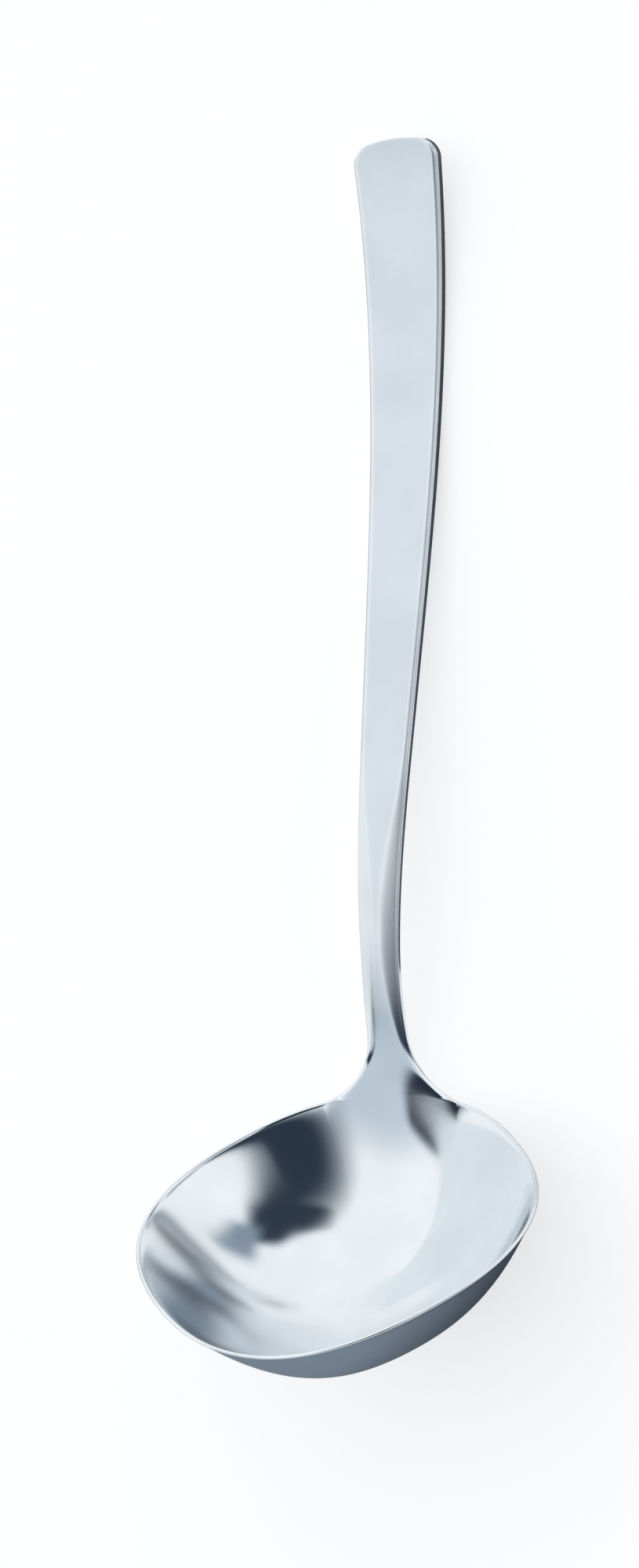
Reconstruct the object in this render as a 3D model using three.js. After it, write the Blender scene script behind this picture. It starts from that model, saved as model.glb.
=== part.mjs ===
// Sauce ladle in steel, in millimetres, lying on its bowl and the back of its handle.
// A round bowl with two pouring lips has a short neck at the back of its rim. The handle is a
// flat bar with bevelled edges that widens to a softly rounded end, and a weld joins it to the neck.
// Each piece is first shaped with the rim level, then the whole ladle leans back until it lies.

import * as THREE from 'three';

// Bowl
const rimRadius = 29.25; // middle radius of the rim, outside
const lipSwell = 0.8; // how far lips and front stand out of that circle, and how far it draws in between
const bowlDepth = 19.8; // rim to underside, outside
const bottomRound = 0.03; // share of the wall's rise that is a plain round hollow
const bowlFullness = 2.52; // power of the rest of it, at the front and the lips
const backFullness = 4.2; // the same below the neck
const backFocus = 7; // how closely the steeper wall keeps to the neck
const wall = 1; // at the bottom
const rimEdge = 0.55; // the wall, ground thinner at the rim
const rimLift = 0.6; // how far the rim rises to the neck
const liftSpread = 55; // degrees to each side of the neck in which it rises

// Neck, a flared tail of the bowl; lengths run up the middle of the neck and handle from the rim
const flareLength = 9; // where the flare has drawn in to the neck
const flareReach = 6.6; // how far each side of the flare spreads at the rim
const tailLength = 24; // where the neck's own gentle widening towards the bowl begins
const tailReach = 1.6;
const swellLength = 14.3; // where the steel has grown from the rim's edge to the neck's thickness
const neckWidth = 5.3;
const neckThickness = 2.4;
const neckEdge = 1; // height of the upright edge between the bevels of front and back
const neckBend = 44; // degrees that the neck stands up from the lean of the handle, at the rim
const neckBendLength = 54;
const neckEase = 15.3; // degrees less at the rim itself, to meet the wall of the bowl
const easeLength = 14; // where that ends

// Weld between neck and handle
const weldPlace = 20;
const weldLength = 1.6;

// Handle
const handleLength = 149.5;
const handleLean = 42.4; // degrees from the plane of the rim along the straight stretch
const tipBend = 26.8; // degrees that the end is turned up
const tipBendLength = 81.5;
const endWidth = 14.3;
const endThickness = 2.8;
const endEdge = 2;
const endBow = 1.3; // how far the middle of the end stands past its corners
const cornerRadius = 2.4;
const bevelWidth = 0.8;
const bevelDepth = 0.4;
const neckBevel = 1.7; // how much wider the bevels are in the middle of the neck's bend
const neckRidge = 0.7; // how much higher the front stands between them there

// Fineness of the faces
const rimSteps = 66; // round the rim, without the neck
const bowlRings = 14;
const flareSteps = 7;
const stubSteps = 3; // from the flare to the weld
const bendSteps = 9;
const tipSteps = 16;
const cornerSteps = 4;
const pathStep = 0.5;

const { lerp, degToRad, smoothstep } = THREE.MathUtils;
const straightStart = neckBendLength;
const straightEnd = handleLength - tipBendLength;
const weldEnd = weldPlace + weldLength;

// Plan radius of the rim: swollen at both lips and the front, plain across the back
function rimAt(angle) {
  const acrossBack = Math.sin(angle) > Math.SQRT1_2;
  return rimRadius + lipSwell * (acrossBack ? -1 : Math.cos(4 * angle));
}

// Rise of the rim at a sideways turn from the neck, in radians
function liftAt(turn) {
  return rimLift * Math.max(0, 1 - (turn / degToRad(liftSpread)) ** 2) ** 2;
}

// Point of the bowl, inside or outside: share runs from 0 at the bottom to 1 at the rim
function bowlPoint(angle, share, inside) {
  const back = Math.max(0, Math.sin(angle)) ** backFocus;
  const fullness = lerp(bowlFullness, backFullness, back);
  const reach = (rimAt(angle) - (inside ? rimEdge : 0)) * share;
  const risen = lerp(share ** fullness, share ** 2, bottomRound);
  const drop = (bowlDepth - (inside ? wall : 0)) * (1 - risen);
  const lift = liftAt(Math.acos(Math.sin(angle))) * share ** 6;
  return new THREE.Vector3(reach * Math.cos(angle), reach * Math.sin(angle), lift - drop);
}

const backReach = rimAt(Math.PI / 2) - rimEdge; // inner edge of the rim below the neck

function tipShare(along) {
  return Math.max(0, (along - straightEnd) / tipBendLength);
}

// Slope of the middle line, steep at the rim, even along the straight stretch, turned up at the end
function headingAt(along) {
  const bent = Math.max(0, 1 - along / neckBendLength);
  const eased = Math.max(0, 1 - along / easeLength);
  const bend = neckBend * bent ** 2 - neckEase * eased ** 2 + tipBend * tipShare(along) ** 2;
  return degToRad(handleLean + bend);
}

// Point of the middle line, which leaves the rim at its inner edge
function pathAt(along) {
  const place = new THREE.Vector3(0, backReach, 0);
  const steps = Math.ceil(along / pathStep);
  for (let i = 0; i < steps; i++) {
    const heading = headingAt((along * (i + 0.5)) / steps);
    place.y += (Math.cos(heading) * along) / steps;
    place.z += (Math.sin(heading) * along) / steps;
  }
  return place;
}

function taperAt(along) {
  return Math.max(0, (along - flareLength) / (handleLength - flareLength));
}

// Half the width of the bar, before the corners of its end are rounded
function fullHalfAt(along) {
  const flare = Math.max(0, 1 - along / flareLength);
  const flared = flareReach * (1 - Math.sqrt(1 - flare ** 2));
  const tail = tailReach * Math.max(0, 1 - along / tailLength) ** 2;
  return lerp(neckWidth, endWidth, taperAt(along)) / 2 + flared + tail;
}

function cornerCutAt(along) {
  const corner = Math.max(0, 1 - (handleLength - along) / cornerRadius);
  return cornerRadius * (1 - Math.sqrt(1 - corner ** 2));
}

// A size that grows from the rim's edge to the neck, and evenly to the end of the handle
function growing(along, atNeck, atEnd) {
  const swollen = lerp(rimEdge, atNeck, smoothstep(along, 0, swellLength));
  return swollen + (atEnd - atNeck) * taperAt(along);
}

// Columns across the neck and handle: the two edges, the two bevel lines and the face between them
const columns = [
  { side: -1, bevel: 1 },
  { side: -1, bevel: 0 },
  { side: -0.5, bevel: 0 },
  { side: 0, bevel: 0 },
  { side: 0.5, bevel: 0 },
  { side: 1, bevel: 0 },
  { side: 1, bevel: 1 },
];

// One row of the bar: its front points and its back points, edge to edge
function barRow(along) {
  const fullHalf = fullHalfAt(along);
  const half = fullHalf - cornerCutAt(along);
  const waist = Math.sin(Math.PI * Math.min(1, along / neckBendLength)) ** 2;
  const bevel = Math.min(bevelWidth + neckBevel * waist, half * 0.8);
  const raise = bevelDepth * smoothstep(along, 0, swellLength) + neckRidge * waist;
  const thickness = growing(along, neckThickness, endThickness) + neckRidge * waist;
  const edge = growing(along, neckEdge, endEdge);
  const dish = 1 - smoothstep(along, 0, weldPlace);
  const lifted = 1 - smoothstep(along, 0, flareLength);
  const row = { front: [], back: [] };
  for (const column of columns) {
    const x = column.side * (column.bevel ? half : half - bevel);
    const bow = endBow * tipShare(along) ** 4 * (x / fullHalf) ** 2;
    const place = pathAt(along - bow);
    const heading = headingAt(along - bow);
    const frontward = new THREE.Vector3(0, -Math.sin(heading), Math.cos(heading));
    place.x = x;
    place.y -= dish * (backReach - Math.sqrt(backReach ** 2 - x ** 2));
    place.z += lifted * liftAt(Math.asin(x / backReach));
    const rise = column.bevel ? 0 : raise;
    const depth = column.bevel ? edge : thickness - raise;
    row.front.push(place.clone().addScaledVector(frontward, rise));
    row.back.push(place.clone().addScaledVector(frontward, -depth));
  }
  return row;
}

// A closed skin of quads: points are shared by place, so neighbouring faces meet
class Skin {
  points = [];
  triangles = [];

  add(point) {
    this.points.push(point.x, point.y, point.z);
    return this.points.length / 3 - 1;
  }

  addRow(row) {
    return { front: row.front.map((p) => this.add(p)), back: row.back.map((p) => this.add(p)) };
  }

  quad(a, b, c, d) {
    this.triangles.push(a, b, c, a, c, d);
  }

  // Front, back and both edges between two rows of the bar
  span(low, high) {
    const last = columns.length - 1;
    for (let j = 0; j < last; j++) {
      this.quad(low.front[j], low.front[j + 1], high.front[j + 1], high.front[j]);
      this.quad(low.back[j + 1], low.back[j], high.back[j], high.back[j + 1]);
    }
    this.quad(low.back[0], low.front[0], high.front[0], high.back[0]);
    this.quad(low.front[last], low.back[last], high.back[last], high.front[last]);
  }

  // Flat end of the bar, facing up the handle or down it
  cap(row, up) {
    for (let j = 0; j < columns.length - 1; j++) {
      const loop = [row.front[j], row.front[j + 1], row.back[j + 1], row.back[j]];
      if (!up) loop.reverse();
      this.quad(...loop);
    }
  }

  mesh(name, color, roughness) {
    const geometry = new THREE.BufferGeometry();
    geometry.setAttribute('position', new THREE.Float32BufferAttribute(this.points, 3));
    geometry.setIndex(this.triangles);
    geometry.computeVertexNormals();
    const steel = new THREE.MeshStandardMaterial({ color, roughness, metalness: 1 });
    const mesh = new THREE.Mesh(geometry, steel);
    mesh.name = name;
    return mesh;
  }
}

// Even steps from one place along the bar to another, without the first
function steps(from, to, count) {
  return Array.from({ length: count }, (_, i) => lerp(from, to, (i + 1) / count));
}

// A bar from one flat end to the other through the given places
function bar(places) {
  const skin = new Skin();
  const rows = places.map((along) => skin.addRow(barRow(along)));
  skin.cap(rows[0], false);
  for (let i = 1; i < rows.length; i++) skin.span(rows[i - 1], rows[i]);
  skin.cap(rows.at(-1), true);
  return skin;
}

// Angles round the rim: the neck's columns from one edge to the other, then even steps round the front
function rimAngles() {
  const { front } = barRow(0);
  const neck = front.map((point) => Math.atan2(point.y, point.x));
  const round = 2 * Math.PI - (neck[0] - neck.at(-1));
  const rest = steps(neck.at(-1), neck.at(-1) - round, rimSteps).slice(0, -1);
  return [...neck, ...rest];
}

function makeBowl() {
  const skin = new Skin();
  const angles = rimAngles();
  const around = angles.length;
  const surface = (isInside) => {
    const bottom = skin.add(bowlPoint(0, 0, isInside));
    const rings = steps(0, Math.PI / 2, bowlRings).map((turn) =>
      angles.map((angle) => skin.add(bowlPoint(angle, Math.sin(turn), isInside)))
    );
    return { bottom, rings, rim: rings.at(-1) };
  };
  const inside = surface(true);
  const outside = surface(false);
  for (let j = 0; j < around; j++) {
    const next = (j + 1) % around;
    skin.triangles.push(inside.bottom, inside.rings[0][next], inside.rings[0][j]);
    skin.triangles.push(outside.bottom, outside.rings[0][j], outside.rings[0][next]);
    for (let i = 1; i < bowlRings; i++) {
      const [low, high] = [inside.rings[i - 1], inside.rings[i]];
      skin.quad(low[j], low[next], high[next], high[j]);
      const [under, over] = [outside.rings[i - 1], outside.rings[i]];
      skin.quad(under[next], under[j], over[j], over[next]);
    }
    const inNeck = j < columns.length - 1;
    if (!inNeck) skin.quad(inside.rim[j], inside.rim[next], outside.rim[next], outside.rim[j]);
  }
  let low = { front: inside.rim.slice(0, columns.length), back: outside.rim.slice(0, columns.length) };
  const flareTurns = steps(0, Math.PI / 2, flareSteps);
  const places = flareTurns.map((turn) => flareLength * (1 - Math.cos(turn)));
  for (const along of [...places, ...steps(flareLength, weldPlace, stubSteps)]) {
    const high = skin.addRow(barRow(along));
    skin.span(low, high);
    low = high;
  }
  skin.cap(low, true);
  return skin.mesh('bowl', 0xdee6ec, 0.2);
}

function makeHandle() {
  const cornerStart = handleLength - cornerRadius;
  const cornerTurns = steps(0, Math.PI / 2, cornerSteps);
  const places = [
    weldEnd,
    ...steps(weldEnd, straightStart, bendSteps),
    ...steps(straightStart, straightEnd, 1),
    ...steps(straightEnd, cornerStart, tipSteps),
    ...cornerTurns.map((turn) => cornerStart + cornerRadius * Math.sin(turn)),
  ];
  return bar(places).mesh('handle', 0xb5c7d7, 0.36);
}

function makeWeld() {
  return bar([weldPlace, weldEnd]).mesh('neck_weld', 0xdee6ec, 0.2);
}

// Height of a mesh's lowest point when the ladle leans back
function lowest(mesh, lean) {
  const place = mesh.geometry.getAttribute('position');
  let low = Infinity;
  for (let i = 0; i < place.count; i++) {
    low = Math.min(low, place.getZ(i) * Math.cos(lean) - place.getY(i) * Math.sin(lean));
  }
  return low;
}

// The lean at which bowl and handle both touch the table, found by halving the range
function restingLean(bowl, handle) {
  let [less, more] = [0, Math.PI / 2];
  while (more - less > 1e-9) {
    const middle = (less + more) / 2;
    if (lowest(bowl, middle) < lowest(handle, middle)) less = middle;
    else more = middle;
  }
  return less;
}

const bowl = makeBowl();
const handle = makeHandle();
const ladle = new THREE.Group();
ladle.add(bowl, makeWeld(), handle);
ladle.rotation.x = -restingLean(bowl, handle);

const box = new THREE.Box3().setFromObject(ladle, true);
const middle = box.getCenter(new THREE.Vector3());
ladle.position.set(-middle.x, -middle.y, -box.min.z);

export default ladle;
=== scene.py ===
import math

import bmesh
import bpy
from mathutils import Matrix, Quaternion, Vector


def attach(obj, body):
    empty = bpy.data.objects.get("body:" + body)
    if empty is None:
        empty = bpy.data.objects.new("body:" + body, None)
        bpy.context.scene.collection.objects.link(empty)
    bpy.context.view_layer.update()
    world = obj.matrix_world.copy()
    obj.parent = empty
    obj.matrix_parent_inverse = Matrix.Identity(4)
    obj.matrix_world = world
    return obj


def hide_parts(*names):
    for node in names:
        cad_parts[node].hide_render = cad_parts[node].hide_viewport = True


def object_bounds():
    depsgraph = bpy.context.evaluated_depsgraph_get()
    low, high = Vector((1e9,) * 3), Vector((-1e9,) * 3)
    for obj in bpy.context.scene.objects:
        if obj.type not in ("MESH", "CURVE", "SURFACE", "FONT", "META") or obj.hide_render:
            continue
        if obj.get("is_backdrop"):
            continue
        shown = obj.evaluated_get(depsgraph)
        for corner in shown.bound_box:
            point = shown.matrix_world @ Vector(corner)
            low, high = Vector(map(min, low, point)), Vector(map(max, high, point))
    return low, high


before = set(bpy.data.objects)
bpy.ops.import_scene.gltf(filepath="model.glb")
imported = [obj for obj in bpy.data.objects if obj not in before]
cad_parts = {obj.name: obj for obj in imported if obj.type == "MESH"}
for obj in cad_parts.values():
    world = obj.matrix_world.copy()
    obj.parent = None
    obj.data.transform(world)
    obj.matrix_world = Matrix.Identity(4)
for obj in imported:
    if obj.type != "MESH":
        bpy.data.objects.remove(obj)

cadBox = [list(corner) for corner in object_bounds()]
print("frame loaded:", ", ".join(sorted(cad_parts)))


# a socket that can be used in Python sums; each sum adds its Math node
class Wire:
    def __init__(self, net, socket):
        self.net = net
        self.socket = socket

    def __add__(self, other):
        return self.net.math("ADD", self, other)

    def __radd__(self, other):
        return self.net.math("ADD", other, self)

    def __sub__(self, other):
        return self.net.math("SUBTRACT", self, other)

    def __rsub__(self, other):
        return self.net.math("SUBTRACT", other, self)

    def __mul__(self, other):
        return self.net.math("MULTIPLY", self, other)

    def __rmul__(self, other):
        return self.net.math("MULTIPLY", other, self)

    def __truediv__(self, other):
        return self.net.math("DIVIDE", self, other)

    def __rtruediv__(self, other):
        return self.net.math("DIVIDE", other, self)

    def __pow__(self, other):
        return self.net.math("POWER", self, other)

    def __neg__(self):
        return self.net.math("MULTIPLY", self, -1)

    def __lt__(self, other):
        return self.net.math("LESS_THAN", self, other)

    def __gt__(self, other):
        return self.net.math("GREATER_THAN", self, other)

    def __abs__(self):
        return self.net.math("ABSOLUTE", self)

    def __round__(self):
        return self.net.math("ROUND", self)

    def atLeast(self, other):
        return self.net.math("MAXIMUM", self, other)

    def atMost(self, other):
        return self.net.math("MINIMUM", self, other)

    def within(self):
        return self.atLeast(0).atMost(1)

    def sin(self):
        return self.net.math("SINE", self)

    def cos(self):
        return self.net.math("COSINE", self)

    def root(self):
        return self.net.math("SQRT", self)

    # 0 before start, 1 after end, smooth between
    def ease(self, start, end):
        ends = {"Value": self, "From Min": start, "From Max": end}
        return self.net.add("ShaderNodeMapRange", {"interpolation_type": "SMOOTHSTEP"}, ends)

    # straight change from one value to another
    def between(self, first, last):
        return first + (last - first) * self

    # another output of the same node
    def other(self, name):
        return Wire(self.net, self.socket.node.outputs[name])

    def feed(self, node, name):
        self.net.tree.links.new(self.socket, node.inputs[name])


# adds nodes to a tree: the kind of node, its settings, then its sockets
class Net:
    def __init__(self, tree):
        self.tree = tree

    def add(self, kind, settings=None, sockets=None, out=0):
        node = self.tree.nodes.new(kind)
        for name, value in (settings or {}).items():
            setattr(node, name, value)
        for key, value in (sockets or {}).items():
            for item in value if isinstance(value, list) else [value]:
                if isinstance(item, Wire):
                    self.tree.links.new(item.socket, node.inputs[key])
                else:
                    node.inputs[key].default_value = item
        return Wire(self, node.outputs[out]) if node.outputs else node

    def math(self, operation, *terms):
        return self.add("ShaderNodeMath", {"operation": operation}, dict(enumerate(terms)))

    def vector(self, x, y, z):
        return self.add("ShaderNodeCombineXYZ", None, {"X": x, "Y": y, "Z": z})

    def vectorMath(self, operation, *terms):
        return self.add("ShaderNodeVectorMath", {"operation": operation}, dict(enumerate(terms)))

    def sum(self, *vectors):
        total = vectors[0]
        for vector in vectors[1:]:
            total = self.vectorMath("ADD", total, vector)
        return total

    def scaled(self, vector, factor):
        return self.add("ShaderNodeVectorMath", {"operation": "SCALE"}, {0: vector, "Scale": factor})

    def parts(self, vector):
        split = self.add("ShaderNodeSeparateXYZ", None, {0: vector})
        return split, split.other("Y"), split.other("Z")

    # keeps values on the points of a mesh, for its steel
    def store(self, mesh, values):
        for name, value in values.items():
            mesh = self.add("GeometryNodeStoreNamedAttribute", {"data_type": "FLOAT", "domain": "POINT"}, {
                "Geometry": mesh, "Name": name, "Value": value})
        return mesh

    # a Mix node for colours: these are its sockets 6 and 7, and its output 2
    def blend(self, factor, first, last):
        first, last = (item if isinstance(item, Wire) else (*item, 1) for item in (first, last))
        return self.add("ShaderNodeMix", {"data_type": "RGBA"}, {"Factor": factor, 6: first, 7: last}, 2)


# the lie of the ladle on the table: its lean, and where the middle of its rim comes to be
lie = {
    "lean": 50.460424,
    "rimMiddle": (0, -0.071660, 0.025121),
    "millimetre": 0.0009985,  # a hair short, so that the finer skin stays inside the CAD box
}
# points nearer than mergeGap become one and edges under speck go, in metres; bends beyond sharpAngle
# degrees stay sharp
meshSizes = {"mergeGap": 2e-6, "speck": 1e-8, "sharpAngle": 60}
metre = 1000  # in mm
quarterTurn = math.pi / 2


def addObject(name, data):
    added = bpy.data.objects.new(name, data)
    bpy.context.scene.collection.objects.link(added)
    return added


# a new material with its net, and its shader with the given values
def newMaterial(name, values):
    material = bpy.data.materials.new(name)
    material.use_nodes = True
    shader = material.node_tree.nodes["Principled BSDF"]
    for label, value in values.items():
        shader.inputs[label].default_value = value
    return material, Net(material.node_tree), shader


# a tree with named inputs for its sizes, which come back as wires
def newTree(name, sizes):
    tree = bpy.data.node_groups.new(name, "GeometryNodeTree")
    tree.is_modifier = True
    for label, value in sizes.items():
        kind = "NodeSocketInt" if isinstance(value, int) else "NodeSocketFloat"
        tree.interface.new_socket(label, in_out="INPUT", socket_type=kind).default_value = value
    tree.interface.new_socket("material", in_out="INPUT", socket_type="NodeSocketMaterial")
    tree.interface.new_socket("Mesh", in_out="OUTPUT", socket_type="NodeSocketGeometry")
    net = Net(tree)
    given = tree.nodes.new("NodeGroupInput")
    return net, {label: Wire(net, given.outputs[label]) for label in [*sizes, "material"]}


# a grid of the given steps, with its column and row numbers as fields
def numberedGrid(net, columns, rows):
    grid = net.add("GeometryNodeMeshGrid", None, {
        "Size X": 1.0, "Size Y": 1.0, "Vertices X": columns + 1, "Vertices Y": rows + 1})
    across, along, _ = net.parts(net.add("GeometryNodeInputPosition"))
    return grid, (across + 0.5) * columns, (along + 0.5) * rows


# millimetres in the frame of the rim become metres in the frame of the part
def putInPlace(net, mesh):
    return net.add("GeometryNodeTransform", None, {
        "Geometry": mesh,
        "Translation": lie["rimMiddle"],
        "Rotation": (-math.radians(lie["lean"]), 0, 0),
        "Scale": (lie["millimetre"],) * 3})


def finishTree(net, mesh, size):
    mesh = net.add("GeometryNodeMergeByDistance", None, {
        "Geometry": mesh, "Distance": meshSizes["mergeGap"]})
    mesh = net.add("GeometryNodeRealizeInstances", None, {"Geometry": mesh})
    mesh = net.add("GeometryNodeSetMaterial", None, {"Geometry": mesh, "Material": size["material"]})
    net.add("NodeGroupOutput", None, {"Mesh": mesh})


# the bar: neck, weld and handle are stretches of it; lengths in mm, angles in degrees
barSizes = {
    "rimRadius": 29.25, "lipSwell": 0.8, "rimEdge": 0.55,
    "rimLift": 0.6, "liftSpread": 55.0,  # the rim rises to the neck
    "flareLength": 9.0, "flareReach": 6.6, "tailLength": 24.0, "tailReach": 1.6, "swellLength": 14.3,
    "neckWidth": 5.3, "neckThickness": 2.4, "neckEdge": 1.0,
    "neckBend": 44.0, "neckBendLength": 54.0,
    "neckEase": 15.3, "easeLength": 14.0,  # the neck meets the wall of the bowl in one sweep
    "handleLength": 149.5, "handleLean": 42.4, "tipBend": 26.8, "tipBendLength": 81.5,
    "endWidth": 14.3, "endThickness": 2.8, "endEdge": 2.0, "endBow": 1.3, "cornerRadius": 2.4,
    "bevelWidth": 0.8, "bevelDepth": 0.4, "neckBevel": 1.7, "neckRidge": 0.7,
    "bevelSoftness": 0.25, "neckSoftness": -0.08,  # how round the line between face and bevel is
    "edgeRound": 0.3,  # depth of the rounding along all free edges
    "baseTurn": 0.00083,  # how the foot of the neck turns to the sides, with the wall of the bowl
    "dishLength": 9.0,  # the neck is as hollow as the bowl at the rim, and flat after this
    "faceColumns": 44, "sideColumns": 8,
    "start": 0.0, "flareRows": 0, "flareSpan": 0.0,
    "evenRows": 2, "evenSpan": 1.6, "cornerRows": 0, "cornerSpan": 0.0,
    "startCap": 1, "endCap": 1,  # rows that close the ends
}
flatShare = 0.56  # share of the columns that the flat of the face gets
flareCrowding = 0.9  # how much the rows of the flare crowd at the rim
pathStep, sparePoints = 0.1, 2  # mm between the points of the line, and points beyond its end
rimFlatness, sideFlatness = 2.0, 3.2  # 2 is a round edge, more is flatter with tighter corners
bevelLimit = 0.8  # widest bevel, as a share of the half width
footLength = 4.0  # mm from the rim to where the section stands square to the line
edgeFocus, footFocus = 5, 10  # how closely the rounding keeps to the edges of the bar, and of its foot


def backReach(size):
    return size["rimRadius"] - size["lipSwell"] - size["rimEdge"]


def tipShare(along, size):
    return ((along - size["handleLength"]) / size["tipBendLength"] + 1).atLeast(0)


def headingAt(along, size):
    bend = (1 - along / size["neckBendLength"]).atLeast(0)
    ease = (1 - along / size["easeLength"]).atLeast(0)
    tip = tipShare(along, size)
    return (size["handleLean"] + size["neckBend"] * bend * bend - size["neckEase"] * ease * ease
            + size["tipBend"] * tip * tip) * math.radians(1)


# the line of the bar, added up from short straight steps
def barPath(net, size):
    halfway = (net.add("GeometryNodeInputIndex") + 0.5) * pathStep  # along each step
    heading = headingAt(halfway, size)
    step = net.vector(0, heading.cos() * pathStep, heading.sin() * pathStep)
    summed = net.add("GeometryNodeAccumulateField", {"data_type": "FLOAT_VECTOR"}, {0: step}, "Trailing")
    line = net.add("GeometryNodeCurvePrimitiveLine")
    line = net.add("GeometryNodeResampleCurve", {"mode": "COUNT"}, {
        "Curve": line, "Count": round(size["handleLength"] / pathStep) + sparePoints})
    summed = net.vectorMath("ADD", summed, net.vector(0, backReach(size), 0))
    return net.add("GeometryNodeSetPosition", None, {"Geometry": line, "Position": summed})


# shares from 0 to 1 that crowd together towards 1
def crowded(share, amount):
    return amount * (share * quarterTurn).sin() + (1 - amount) * share


# column share from 0 to 1, to a distance from the middle line; also where the bevel starts
def columnReach(share, half, bevel):
    inner = half - bevel
    flat = inner * (share / flatShare).atMost(1)
    return flat + bevel * ((share - flatShare) / (1 - flatShare)).atLeast(0), inner


def edgeBulge(lift, flatness):
    return (1 - abs(lift) ** flatness).atLeast(0) ** (1 / flatness)


# rise of the rim at a sideways turn from the neck
def liftAt(turn, size):
    near = (1 - (turn / (size["liftSpread"] * math.radians(1))) ** 2).atLeast(0)
    return size["rimLift"] * near * near


def makeBarTree():
    net, size = newTree("barSkin", barSizes)
    face, side = size["faceColumns"], size["sideColumns"]
    loop = 2 * face + 2 * side
    flareEnd, evenEnd = size["flareRows"], size["flareRows"] + size["evenRows"]
    rowCount = evenEnd + size["cornerRows"]
    grid, column, row = numberedGrid(net, loop, rowCount + size["startCap"] + size["endCap"])

    # a rounded end is closed by front and back alone, so the sides stop before it
    atSide = (column > face) * (column < face + side) + (column > 2 * face + side)
    spare = atSide * (row > rowCount + size["startCap"]) * (size["endCap"] > 1)
    skin = net.add("GeometryNodeDeleteGeometry", {"domain": "FACE"}, {
        "Geometry": grid, "Selection": spare})
    column, row = round(column), round(row) - size["startCap"]

    # round the section: front, left side, back, right side; place runs from 1 to -1 across front and back
    place = 1 - 2 * (column / face).within() + 2 * ((column - face - side) / face).within()
    turn = (((column - face) / side).within() - ((column - 2 * face - side) / side).within()) * math.pi
    # along the bar: flare, even stretch, rounded corner, and the rows that close an end
    flareShare = (row / flareEnd).within()
    cornerShare = ((row - evenEnd) / size["cornerRows"]).within()
    along = (size["start"]
             + size["flareSpan"] * (1 - crowded(1 - flareShare, flareCrowding))
             + size["evenSpan"] * ((row - flareEnd) / size["evenRows"]).within()
             + size["cornerSpan"] * (cornerShare * quarterTurn).sin())
    closing = ((row - rowCount) / size["endCap"]).atLeast(-row / size["startCap"]).within()
    lift = turn.cos() * (closing * quarterTurn).cos()

    flare = (1 - along / size["flareLength"]).atLeast(0)
    corner = (1 - (size["handleLength"] - along) / size["cornerRadius"]).atLeast(0)
    taper = ((along - size["flareLength"]) / (size["handleLength"] - size["flareLength"])).atLeast(0)
    tail = (1 - along / size["tailLength"]).atLeast(0)
    fullHalf = (taper.between(size["neckWidth"], size["endWidth"]) / 2
                + size["flareReach"] * (1 - (1 - flare * flare).root())
                + size["tailReach"] * tail * tail)
    half = fullHalf - size["cornerRadius"] * (1 - (1 - corner * corner).root())
    rise = along.ease(0, size["swellLength"])
    bulge = edgeBulge(lift, rise.between(rimFlatness, sideFlatness))
    waist = ((along / size["neckBendLength"]).atMost(1) * math.pi).sin()
    waist = waist * waist
    bevel = (size["bevelWidth"] + size["neckBevel"] * waist).atMost(half * bevelLimit)
    ridge = size["bevelDepth"] * rise + size["neckRidge"] * waist
    thickness = (rise.between(size["rimEdge"], size["neckThickness"])
                 + (size["endThickness"] - size["neckThickness"]) * taper + size["neckRidge"] * waist)
    edge = rise.between(size["rimEdge"], size["neckEdge"]) + (size["endEdge"] - size["neckEdge"]) * taper

    # across the section
    reach, inner = columnReach(abs(place), half, bevel)
    x = reach * net.math("SIGN", place)
    down = (reach - inner) / bevel
    soft = size["bevelSoftness"] + size["neckSoftness"] * waist
    fall = (down + (down * down + soft * soft).root()) / (1 + (1 + soft * soft).root())
    front = ridge * (1 - fall)
    back = edge + (thickness - ridge - edge) * (1 - fall)
    depth = ((1 - lift) / 2).between(front, -back)

    # place on the line of the bar
    tip = tipShare(along, size)
    bow = size["endBow"] * tip * tip * tip * tip * (x / fullHalf) * (x / fullHalf)
    sampled = net.add("GeometryNodeSampleCurve", {"mode": "LENGTH", "use_all_curves": False}, {
        "Curves": barPath(net, size), "Length": (along - bow).atLeast(0)}, "Position")
    _, placeY, placeZ = net.parts(sampled)
    ring = backReach(size)
    arc = (ring * ring - x * x).root()
    dish = 1 - along.ease(0, size["dishLength"])
    placeY = placeY - dish * (ring - arc) + size["baseTurn"] * x * x * along * flare * flare
    lifted = 1 - along.ease(0, size["flareLength"])
    placeZ = placeZ + lifted * liftAt(net.math("ARCSINE", x / ring), size)

    # at the rim the section faces the middle of the bowl, further on it stands square to the line
    heading = headingAt(along, size)
    foot = 1 - along.ease(0, footLength)
    facing = net.vector(-x / ring * foot, -foot.between(heading.sin(), arc / ring),
                        heading.cos() * (1 - foot))
    ahead = net.vector(0, heading.cos() * (1 - foot), foot.between(heading.sin(), 1))

    # outward across the free edge, for its rounding
    openFlare = (1 - flare * flare).root()
    slope = size["flareReach"] / size["flareLength"] * flare
    steep = (openFlare * openFlare + slope * slope).root()
    outAcross = openFlare / steep * (1 - corner * corner).root()
    outAhead = slope / steep + corner
    nearEdge = (abs(place) ** edgeFocus).atLeast(corner ** edgeFocus)
    sharp = foot.between(nearEdge, (reach / half) ** footFocus)
    inset = -size["edgeRound"] * (1 - bulge) * sharp
    x = x + inset * outAcross * net.math("SIGN", place)

    point = net.sum(net.vector(x, placeY, placeZ), net.scaled(facing, depth),
                    net.scaled(ahead, inset * outAhead))

    mesh = net.store(skin, {"along": along, "across": x, "outer": (1 - lift) / 2, "bevel": down})
    mesh = net.add("GeometryNodeSetPosition", None, {"Geometry": mesh, "Position": point})
    finishTree(net, putInPlace(net, mesh), size)
    return net.tree


barTree = makeBarTree()
print("bar tree:", len(barTree.nodes), "nodes")


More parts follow.
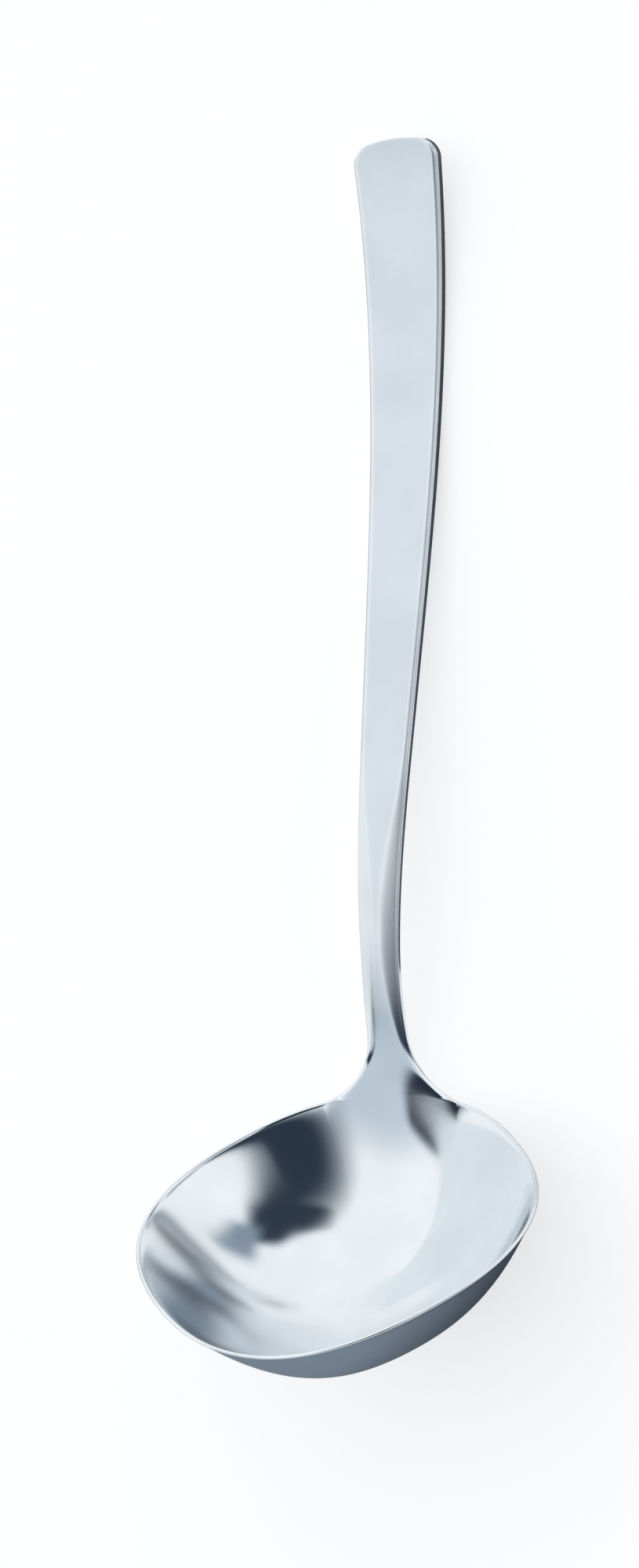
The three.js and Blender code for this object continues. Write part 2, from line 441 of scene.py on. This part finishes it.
# the bowl: a round pressing with two soft pouring lips, its wall fuller towards the neck; lengths in mm
bowlSizes = {
    "bowlDepth": 19.8, "bottomRound": 0.03, "bowlFullness": 2.52,
    "backFullness": 4.2, "backFocus": 7.0, "wall": 1.0,
    "rings": 56, "rimColumns": 280, "neckRows": 36, "stubRows": 32,
    "weldPlace": 20.0,  # along the bar, from the rim
}
ringCrowding = 0.85  # how much the rings crowd at the rim
lobeCount = 4  # lips, front and back; the quarter at the back stays plain
liftFocus, roundFocus = 6, 60  # how closely the rise of the rim, and its rounding, keep to the rim
wallStretch = 2.5  # way down the wall at the rim, for each mm inwards


def makeBowlTree():
    shared = (
        "rimRadius", "lipSwell", "rimEdge", "rimLift", "liftSpread", "neckWidth", "flareReach",
        "flareLength", "tailReach", "bevelWidth", "edgeRound", "faceColumns", "sideColumns")
    net, size = newTree("bowlSkin", {**bowlSizes, **{label: barSizes[label] for label in shared}})
    face, side, rings = size["faceColumns"], size["sideColumns"], size["rings"]
    grid, column, row = numberedGrid(net, face + size["rimColumns"], 2 * rings + side)

    # the neck grows from the rim here, so the rim is left open
    gap = (column < face) * (row > rings) * (row < rings + side)
    shell = net.add("GeometryNodeDeleteGeometry", {"domain": "FACE"}, {
        "Geometry": grid, "Selection": gap})
    column, row = round(column), round(row)

    # columns stand close across the neck and evenly round the rest of the rim
    ring = backReach(size)
    half = size["neckWidth"] / 2 + size["flareReach"] + size["tailReach"]
    place = (1 - 2 * column / face).atLeast(-1)
    neckReach, _ = columnReach(abs(place), half, size["bevelWidth"])
    neckAngle = net.math("ARCCOSINE", neckReach * net.math("SIGN", place) / ring)
    neckSide = net.math("ARCCOSINE", half / ring)
    share = ((column - face) / size["rimColumns"]).within()
    angle = neckAngle + share * (math.pi + 2 * neckSide)
    atNeck = column < face + 0.5  # columns are whole numbers

    # up the inside, over the rim, down the outside
    upDown = (row / rings).within() - ((row - rings - side) / rings).within()
    share = crowded(upDown, ringCrowding)
    turn = (((row - rings) / side).within() * math.pi).cos()
    outer = (1 - turn) / 2
    acrossBack = angle.sin() > math.sin(quarterTurn / 2)
    lobes = acrossBack.between((angle * lobeCount).cos(), -1)
    rim = size["rimRadius"] + size["lipSwell"] * lobes
    back = angle.sin().atLeast(0) ** size["backFocus"]
    fullness = back.between(size["bowlFullness"], size["backFullness"])
    reach = (rim - size["rimEdge"] * (1 - outer)) * share
    risen = size["bottomRound"].between(share ** fullness, share * share)
    drop = (size["bowlDepth"] - size["wall"] * (1 - outer)) * (1 - risen)
    lift = liftAt(net.math("ARCCOSINE", angle.sin()), size) * share ** liftFocus
    sharp = atNeck.between(1, (neckReach / half) ** footFocus)
    inset = size["edgeRound"] * (1 - edgeBulge(turn, rimFlatness)) * sharp * share ** roundFocus
    downWall = (1 - share) * size["rimRadius"] * wallStretch

    x = reach * angle.cos()
    point = net.vector(x, reach * angle.sin(), lift - drop - inset)
    shell = net.store(shell, {"along": -downWall, "across": x, "outer": outer})
    shell = net.add("GeometryNodeSetPosition", None, {"Geometry": shell, "Position": point})

    stub = {
        "flareRows": size["neckRows"], "flareSpan": size["flareLength"],
        "evenRows": size["stubRows"], "evenSpan": size["weldPlace"] - size["flareLength"],
        "startCap": 0}
    neck = net.add("GeometryNodeGroup", {"node_tree": barTree}, {**stub, **{
        label: size[label] for label in shared}})
    both = net.add("GeometryNodeJoinGeometry", None, {"Geometry": [putInPlace(net, shell), neck]})
    finishTree(net, both, size)
    return net.tree


bowlTree = makeBowlTree()
print("bowl tree:", len(bowlTree.nodes), "nodes")


# runs a tree on an empty mesh, and keeps the result as a plain mesh
def growPiece(name, tree, sizes, material):
    blank = addObject(name + "Maker", bpy.data.meshes.new(name + "Maker"))
    modifier = blank.modifiers.new("shape", "NODES")
    modifier.node_group = tree
    sockets = {item.name: item.identifier for item in tree.interface.items_tree if item.in_out == "INPUT"}
    for label, value in {**sizes, "material": material}.items():
        modifier[sockets[label]] = value
    shown = blank.evaluated_get(bpy.context.evaluated_depsgraph_get())
    mesh = bpy.data.meshes.new_from_object(shown)
    blank.modifiers.remove(modifier)
    bpy.data.objects.remove(blank)
    mesh.name = name
    closeUp = bmesh.new()
    closeUp.from_mesh(mesh)
    bmesh.ops.dissolve_degenerate(closeUp, edges=closeUp.edges, dist=meshSizes["speck"])
    bmesh.ops.recalc_face_normals(closeUp, faces=closeUp.faces)
    openEdges = sum(not edge.is_manifold for edge in closeUp.edges)
    volume = closeUp.calc_volume()
    closeUp.to_mesh(mesh)
    closeUp.free()
    mesh.shade_smooth()
    mesh.set_sharp_from_angle(angle=math.radians(meshSizes["sharpAngle"]))
    print(f"{name}: {len(mesh.polygons)} faces, {openEdges} open edges, {volume * metre ** 3:.0f} mm3")
    return addObject(name, mesh)


# one steel for the whole ladle, so that no seam shows; the masks change its finish from place to place and
# paint highlights on the bevels and ridges of the bar
steelLook = {
    "polished": (0.855, 0.9, 0.935), "satin": (0.71, 0.78, 0.845),
    "bowlRoughness": 0.09, "scuffedRoughness": 0.19, "outsideRoughness": 0.1, "neckRoughness": 0.1,
    "handleRoughness": 0.36, "edgeRoughness": 0.28, "grainRoughness": 0.1, "cloudRoughness": 0.05,
    "scuffed": (0.001, 0.009),  # the front half of the bowl is scuffed by use: metres from its middle
    # where the neck's finish, the satin, its tint and the painted highlights on the bevels come in, in mm
    # along the bar
    "neckFade": (-3, 8), "satinFade": (4, 20), "tintFade": (2, 24), "bevelStart": (4, 12),
    "bevelPolishAndHighlight": 0.65, "ridgeHighlight": 0.75,  # painted highlight: bevels and their ridges are painted brighter than the faces, the bevels partly as polish
    "bevelFade": (-0.2, 0.15), "ridgeSharpness": 3,  # across the ridge, by widths of the bevel
    "edgeFade": (0.05, 0.5),  # from the faces, 0, to the middle of an edge, 1
    "outsideFade": (0.3, 0.7),  # from the inside of the bowl, 0, over its rim to the outside, 1
    "cloudScale": 90, "cloudDetail": 3, "cloudFade": (0.3, 0.7), "cloudDepth": 0.06,
    "grainWidth": 0.11, "grainLength": 7.0, "grainRound": 40, "grainDetail": 2, "grainHeight": 0.0000012,
    "polishScale": 900, "polishDetail": 2, "polishHeight": 0.0000008,
}


def noise(net, place, scale, detail):
    return net.add("ShaderNodeTexNoise", None, {"Vector": place, "Scale": scale, "Detail": detail})


def makeSteel(name, look):
    material, net, shader = newMaterial(name, {"Metallic": 1})
    along, across, outer, bevel = (net.add("ShaderNodeAttribute", {"attribute_name": label}, None, "Fac")
                                   for label in ("along", "across", "outer", "bevel"))
    place = net.add("ShaderNodeTexCoord", None, None, "Object")
    # painted highlight: the bevels and a thin line along each ridge of the bar take the lighter, untinted
    # colour
    onBar = along.ease(*look["bevelStart"])
    bevelled = bevel.ease(*look["bevelFade"]) * onBar
    ridge = (1 - look["ridgeSharpness"] * abs(bevel)).atLeast(0) * onBar
    paintedHighlight = (look["bevelPolishAndHighlight"] * bevelled).atLeast(look["ridgeHighlight"] * ridge)
    satin = along.ease(*look["satinFade"])
    inBowl = 1 - along.ease(*look["neckFade"])
    edge = (1 - abs(2 * outer - 1)).ease(*look["edgeFade"])

    # fine lines along the handle, faint clouds everywhere, and the last traces of polishing in the bowl
    lines = net.vector(across / look["grainWidth"], along / look["grainLength"],
                       outer * look["grainRound"])
    grain = noise(net, lines, 1, look["grainDetail"])
    clouds = noise(net, place, look["cloudScale"], look["cloudDetail"])
    polish = noise(net, place, look["polishScale"], look["polishDetail"])

    # the distance back from the middle of the rim, in the plane of the rim
    lean = math.radians(lie["lean"])
    fromMiddle = net.vectorMath("SUBTRACT", place, lie["rimMiddle"])
    back = net.vectorMath("DOT_PRODUCT", fromMiddle, (0, math.cos(lean), -math.sin(lean))).other("Value")
    inside = back.ease(*look["scuffed"]).between(look["scuffedRoughness"], look["bowlRoughness"])
    shell = outer.ease(*look["outsideFade"]).between(inside, look["outsideRoughness"])
    plain = inBowl.between(look["neckRoughness"], shell)
    rough = satin.between(plain, look["handleRoughness"] + look["grainRoughness"] * (grain - 0.5))
    rough = edge.between(rough, look["edgeRoughness"]) + look["cloudRoughness"] * (clouds - 0.5)
    # where the highlight is painted, the satin tint gives way to the lighter colour
    tint = along.ease(*look["tintFade"]) * (1 - paintedHighlight)
    shade = 1 - look["cloudDepth"] * clouds.ease(*look["cloudFade"])
    colour = net.scaled(net.blend(tint, look["polished"], look["satin"]), shade)
    height = satin.between(polish * look["polishHeight"], grain * look["grainHeight"])
    bump = net.add("ShaderNodeBump", None, {"Strength": 1.0, "Distance": 1.0, "Height": height})

    for label, wire in (("Base Color", colour), ("Roughness", rough), ("Normal", bump)):
        wire.feed(shader, label)
    return material


# stretches of the bar: the weld follows the bowl's neck, and the handle goes on to the end
weldSizes = {"start": bowlSizes["weldPlace"], "evenSpan": 1.6, "evenRows": 5}
weldEnd = weldSizes["start"] + weldSizes["evenSpan"]
handleSizes = {
    "start": weldEnd, "evenSpan": barSizes["handleLength"] - barSizes["cornerRadius"] - weldEnd,
    "evenRows": 300, "cornerSpan": barSizes["cornerRadius"], "cornerRows": 10, "endCap": 4,
}
bowl = growPiece("ladleBowl", bowlTree, {}, makeSteel("bowlSteel", steelLook))
weld = growPiece("neckWeld", barTree, weldSizes, makeSteel("weldSteel", steelLook))
handle = growPiece("ladleHandle", barTree, handleSizes, makeSteel("handleSteel", steelLook))
for piece, node, slot in ((bowl, "bowl", "bowl_steel"), (weld, "neck_weld", "weld_steel"),
                          (handle, "handle", "handle_steel")):
    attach(piece, "root")
    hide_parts(node)
print("pieces ride on the frame")


# a flat sheet that belongs to the studio
def sheet(name, middle, width, length, material):
    mesh = bpy.data.meshes.new(name)
    x, y, z = middle
    signs = ((-1, -1), (1, -1), (1, 1), (-1, 1))
    corners = [(x + right * width / 2, y + ahead * length / 2, z) for right, ahead in signs]
    mesh.from_pydata(corners, [], [(0, 1, 2, 3)])
    mesh.materials.append(material)
    result = addObject(name, mesh)
    result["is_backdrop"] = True
    return result


paperLook = {"Roughness": 1, "Specular IOR Level": 0}
floorSizes = {
    "width": 6.0, "colour": (0.55, 0.55, 0.55),
    "whitening": 0.6,  # a glow that only the camera and the reflections see
}
# grey cards on the table, which only reflections show: painted shade of the floor around the ladle; each
# is painted darker near one place, a painted shadow
cardSizes = {
    "frontCard": {"middle": (0.0, -0.12), "width": 0.2, "length": 0.12,
                  "near": (0.12, 0.14, 0.165), "away": (0.3, 0.35, 0.41)},
    "handleCard": {"middle": (0.0095, 0.035), "width": 0.013, "length": 0.14,
                   "near": (0.1, 0.115, 0.135), "away": (0.1, 0.115, 0.135)},
    "sideCard": {"middle": (0.034, -0.021), "width": 0.03, "length": 0.036,
                 "near": (0.2, 0.23, 0.27), "away": (0.3, 0.35, 0.41)},
}
cardHeight = 0.0004  # just clear of the floor
# where the painted shadow on the cards is darkest, by the bowl, and how far it reaches
shadowPlace, shadowReach = (0.02, -0.08, 0), 0.05
# dim parts of the dome, by degrees from straight above: across (to the right) and ahead (to the handle);
# a side or an end fades over the two angles given for it, slants lean the sides, and tilt turns the ends
dome = {
    "front": {"sides": (-80, -65, 25, 40), "ends": (-80, -70, -34, -11), "slants": (0, 0), "tilt": 0,
              "colour": (0.62, 0.665, 0.71)},
    "opening": {"sides": (14, 35, 47.5, 56.5), "ends": (-60, -45, 42, 50), "slants": (0.44, 0), "tilt": 0,
                "colour": (0.035, 0.042, 0.055)},
    "openingFoot": {"sides": (33, 40, 48, 57), "ends": (22, 30, 42, 50), "slants": (0, 0), "tilt": 0,
                    "colour": (0.035, 0.042, 0.055)},
    "lowRight": {"sides": (57, 62, 120, 130), "ends": (-60, -40, 0, 14), "slants": (0, 0), "tilt": 0,
                 "colour": (0.35, 0.39, 0.44)},
    "backRight": {"sides": (44, 52, 36, 46), "ends": (33, 41, 56, 68), "slants": (0, 0.5), "tilt": 0,
                  "colour": (0.28, 0.32, 0.37)},
    "frontLeft": {"sides": (-70, -60, -35.5, -28), "ends": (-64, -60, -52, -46.5),
                  "slants": (0, 0), "tilt": 0.63, "colour": (0.02, 0.025, 0.035)},
}
domePowers = (1.1, 1.03, 0.97)  # turn the greys of the dome blue, the more so the darker they are
nearZero = 0.001  # keeps the plan distance above 0


# 1 for what the camera sees, directly or in the steel, and 0 for light that falls on things
def whenSeen(net):
    ray = net.add("ShaderNodeLightPath", None, None, "Is Camera Ray")
    return (ray + ray.other("Is Glossy Ray") + ray.other("Is Transmission Ray")).atMost(1)


def makeFloor():
    paper, net, shader = newMaterial("floorPaper", {
        **paperLook, "Base Color": (*floorSizes["colour"], 1), "Emission Strength": 1})
    net.blend(whenSeen(net), (0, 0, 0), (floorSizes["whitening"],) * 3).feed(shader, "Emission Color")
    sheet("floor", (0, 0, 0), floorSizes["width"], floorSizes["width"], paper)


# dark cards of painted shade, seen only in the steel's reflections
def makeCards():
    for name, card in cardSizes.items():
        paper, net, shader = newMaterial(name + "Paper", paperLook)
        place = net.add("ShaderNodeTexCoord", None, None, "Object")
        gap = net.vectorMath("DISTANCE", place, shadowPlace).other("Value")
        # painted shadow: each card darkens towards one place
        net.blend(gap.ease(0, shadowReach), card["near"], card["away"]).feed(shader, "Base Color")
        piece = sheet(name, (*card["middle"], cardHeight), card["width"], card["length"], paper)
        piece.visible_camera = piece.visible_diffuse = piece.visible_shadow = False


# a white dome with dim parts; the camera itself sees plain white
def makeWorld():
    world = bpy.data.worlds.new("studio")
    bpy.context.scene.world = world
    world.use_nodes = True
    net = Net(world.node_tree)
    x, y, z = net.parts(net.add("ShaderNodeTexCoord", None, None, "Generated"))
    fromTop = net.math("ARCCOSINE", z) * math.degrees(1)
    plan = (x * x + y * y).root().atLeast(nearZero)
    across, ahead = fromTop * x / plan, fromTop * y / plan
    offCamera = 1 - net.add("ShaderNodeLightPath", None, None, "Is Camera Ray")
    colour = (1, 1, 1)
    for part in dome.values():
        left, leftEnd, right, rightEnd = part["sides"]
        near, nearEnd, far, farEnd = part["ends"]
        leftSlant, rightSlant = part["slants"]
        mask = (across - ahead * leftSlant).ease(left, leftEnd)
        mask = mask * (1 - (across - ahead * rightSlant).ease(right, rightEnd))
        tilted = ahead + across * part["tilt"]
        mask = mask * tilted.ease(near, nearEnd) * (1 - tilted.ease(far, farEnd))
        colour = net.blend(mask * offCamera, colour, part["colour"])
    channels = (channel ** power for channel, power in zip(net.parts(colour), domePowers))
    net.vector(*channels).feed(net.tree.nodes["Background"], "Color")


makeFloor()
makeCards()
makeWorld()
print("studio set")

# the view of the photograph: angles in degrees, lengths in metres, lens in mm
cameraSizes = {
    "target": (0.0010335, -0.0109938, 0.0340816), "distance": 0.4454,
    "azimuth": 71.3795, "elevation": 64.0651, "roll": -72.4688, "lens": 72,
}


def makeCamera():
    camera = addObject("camera", bpy.data.cameras.new("camera"))
    bpy.context.scene.camera = camera
    camera.data.lens = cameraSizes["lens"]
    turn, rise = math.radians(cameraSizes["azimuth"]), math.radians(cameraSizes["elevation"])
    toCamera = Vector((math.sin(turn) * math.cos(rise), -math.cos(turn) * math.cos(rise), math.sin(rise)))
    camera.location = Vector(cameraSizes["target"]) + toCamera * cameraSizes["distance"]
    camera.rotation_mode = "QUATERNION"
    roll = Quaternion((0, 0, 1), math.radians(cameraSizes["roll"]))
    camera.rotation_quaternion = toCamera.to_track_quat("Z", "Y") @ roll


makeCamera()
bpy.context.scene.view_settings.view_transform = "Standard"
print("camera set")

{"cad": cadBox, "visual": [list(corner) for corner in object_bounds()]}
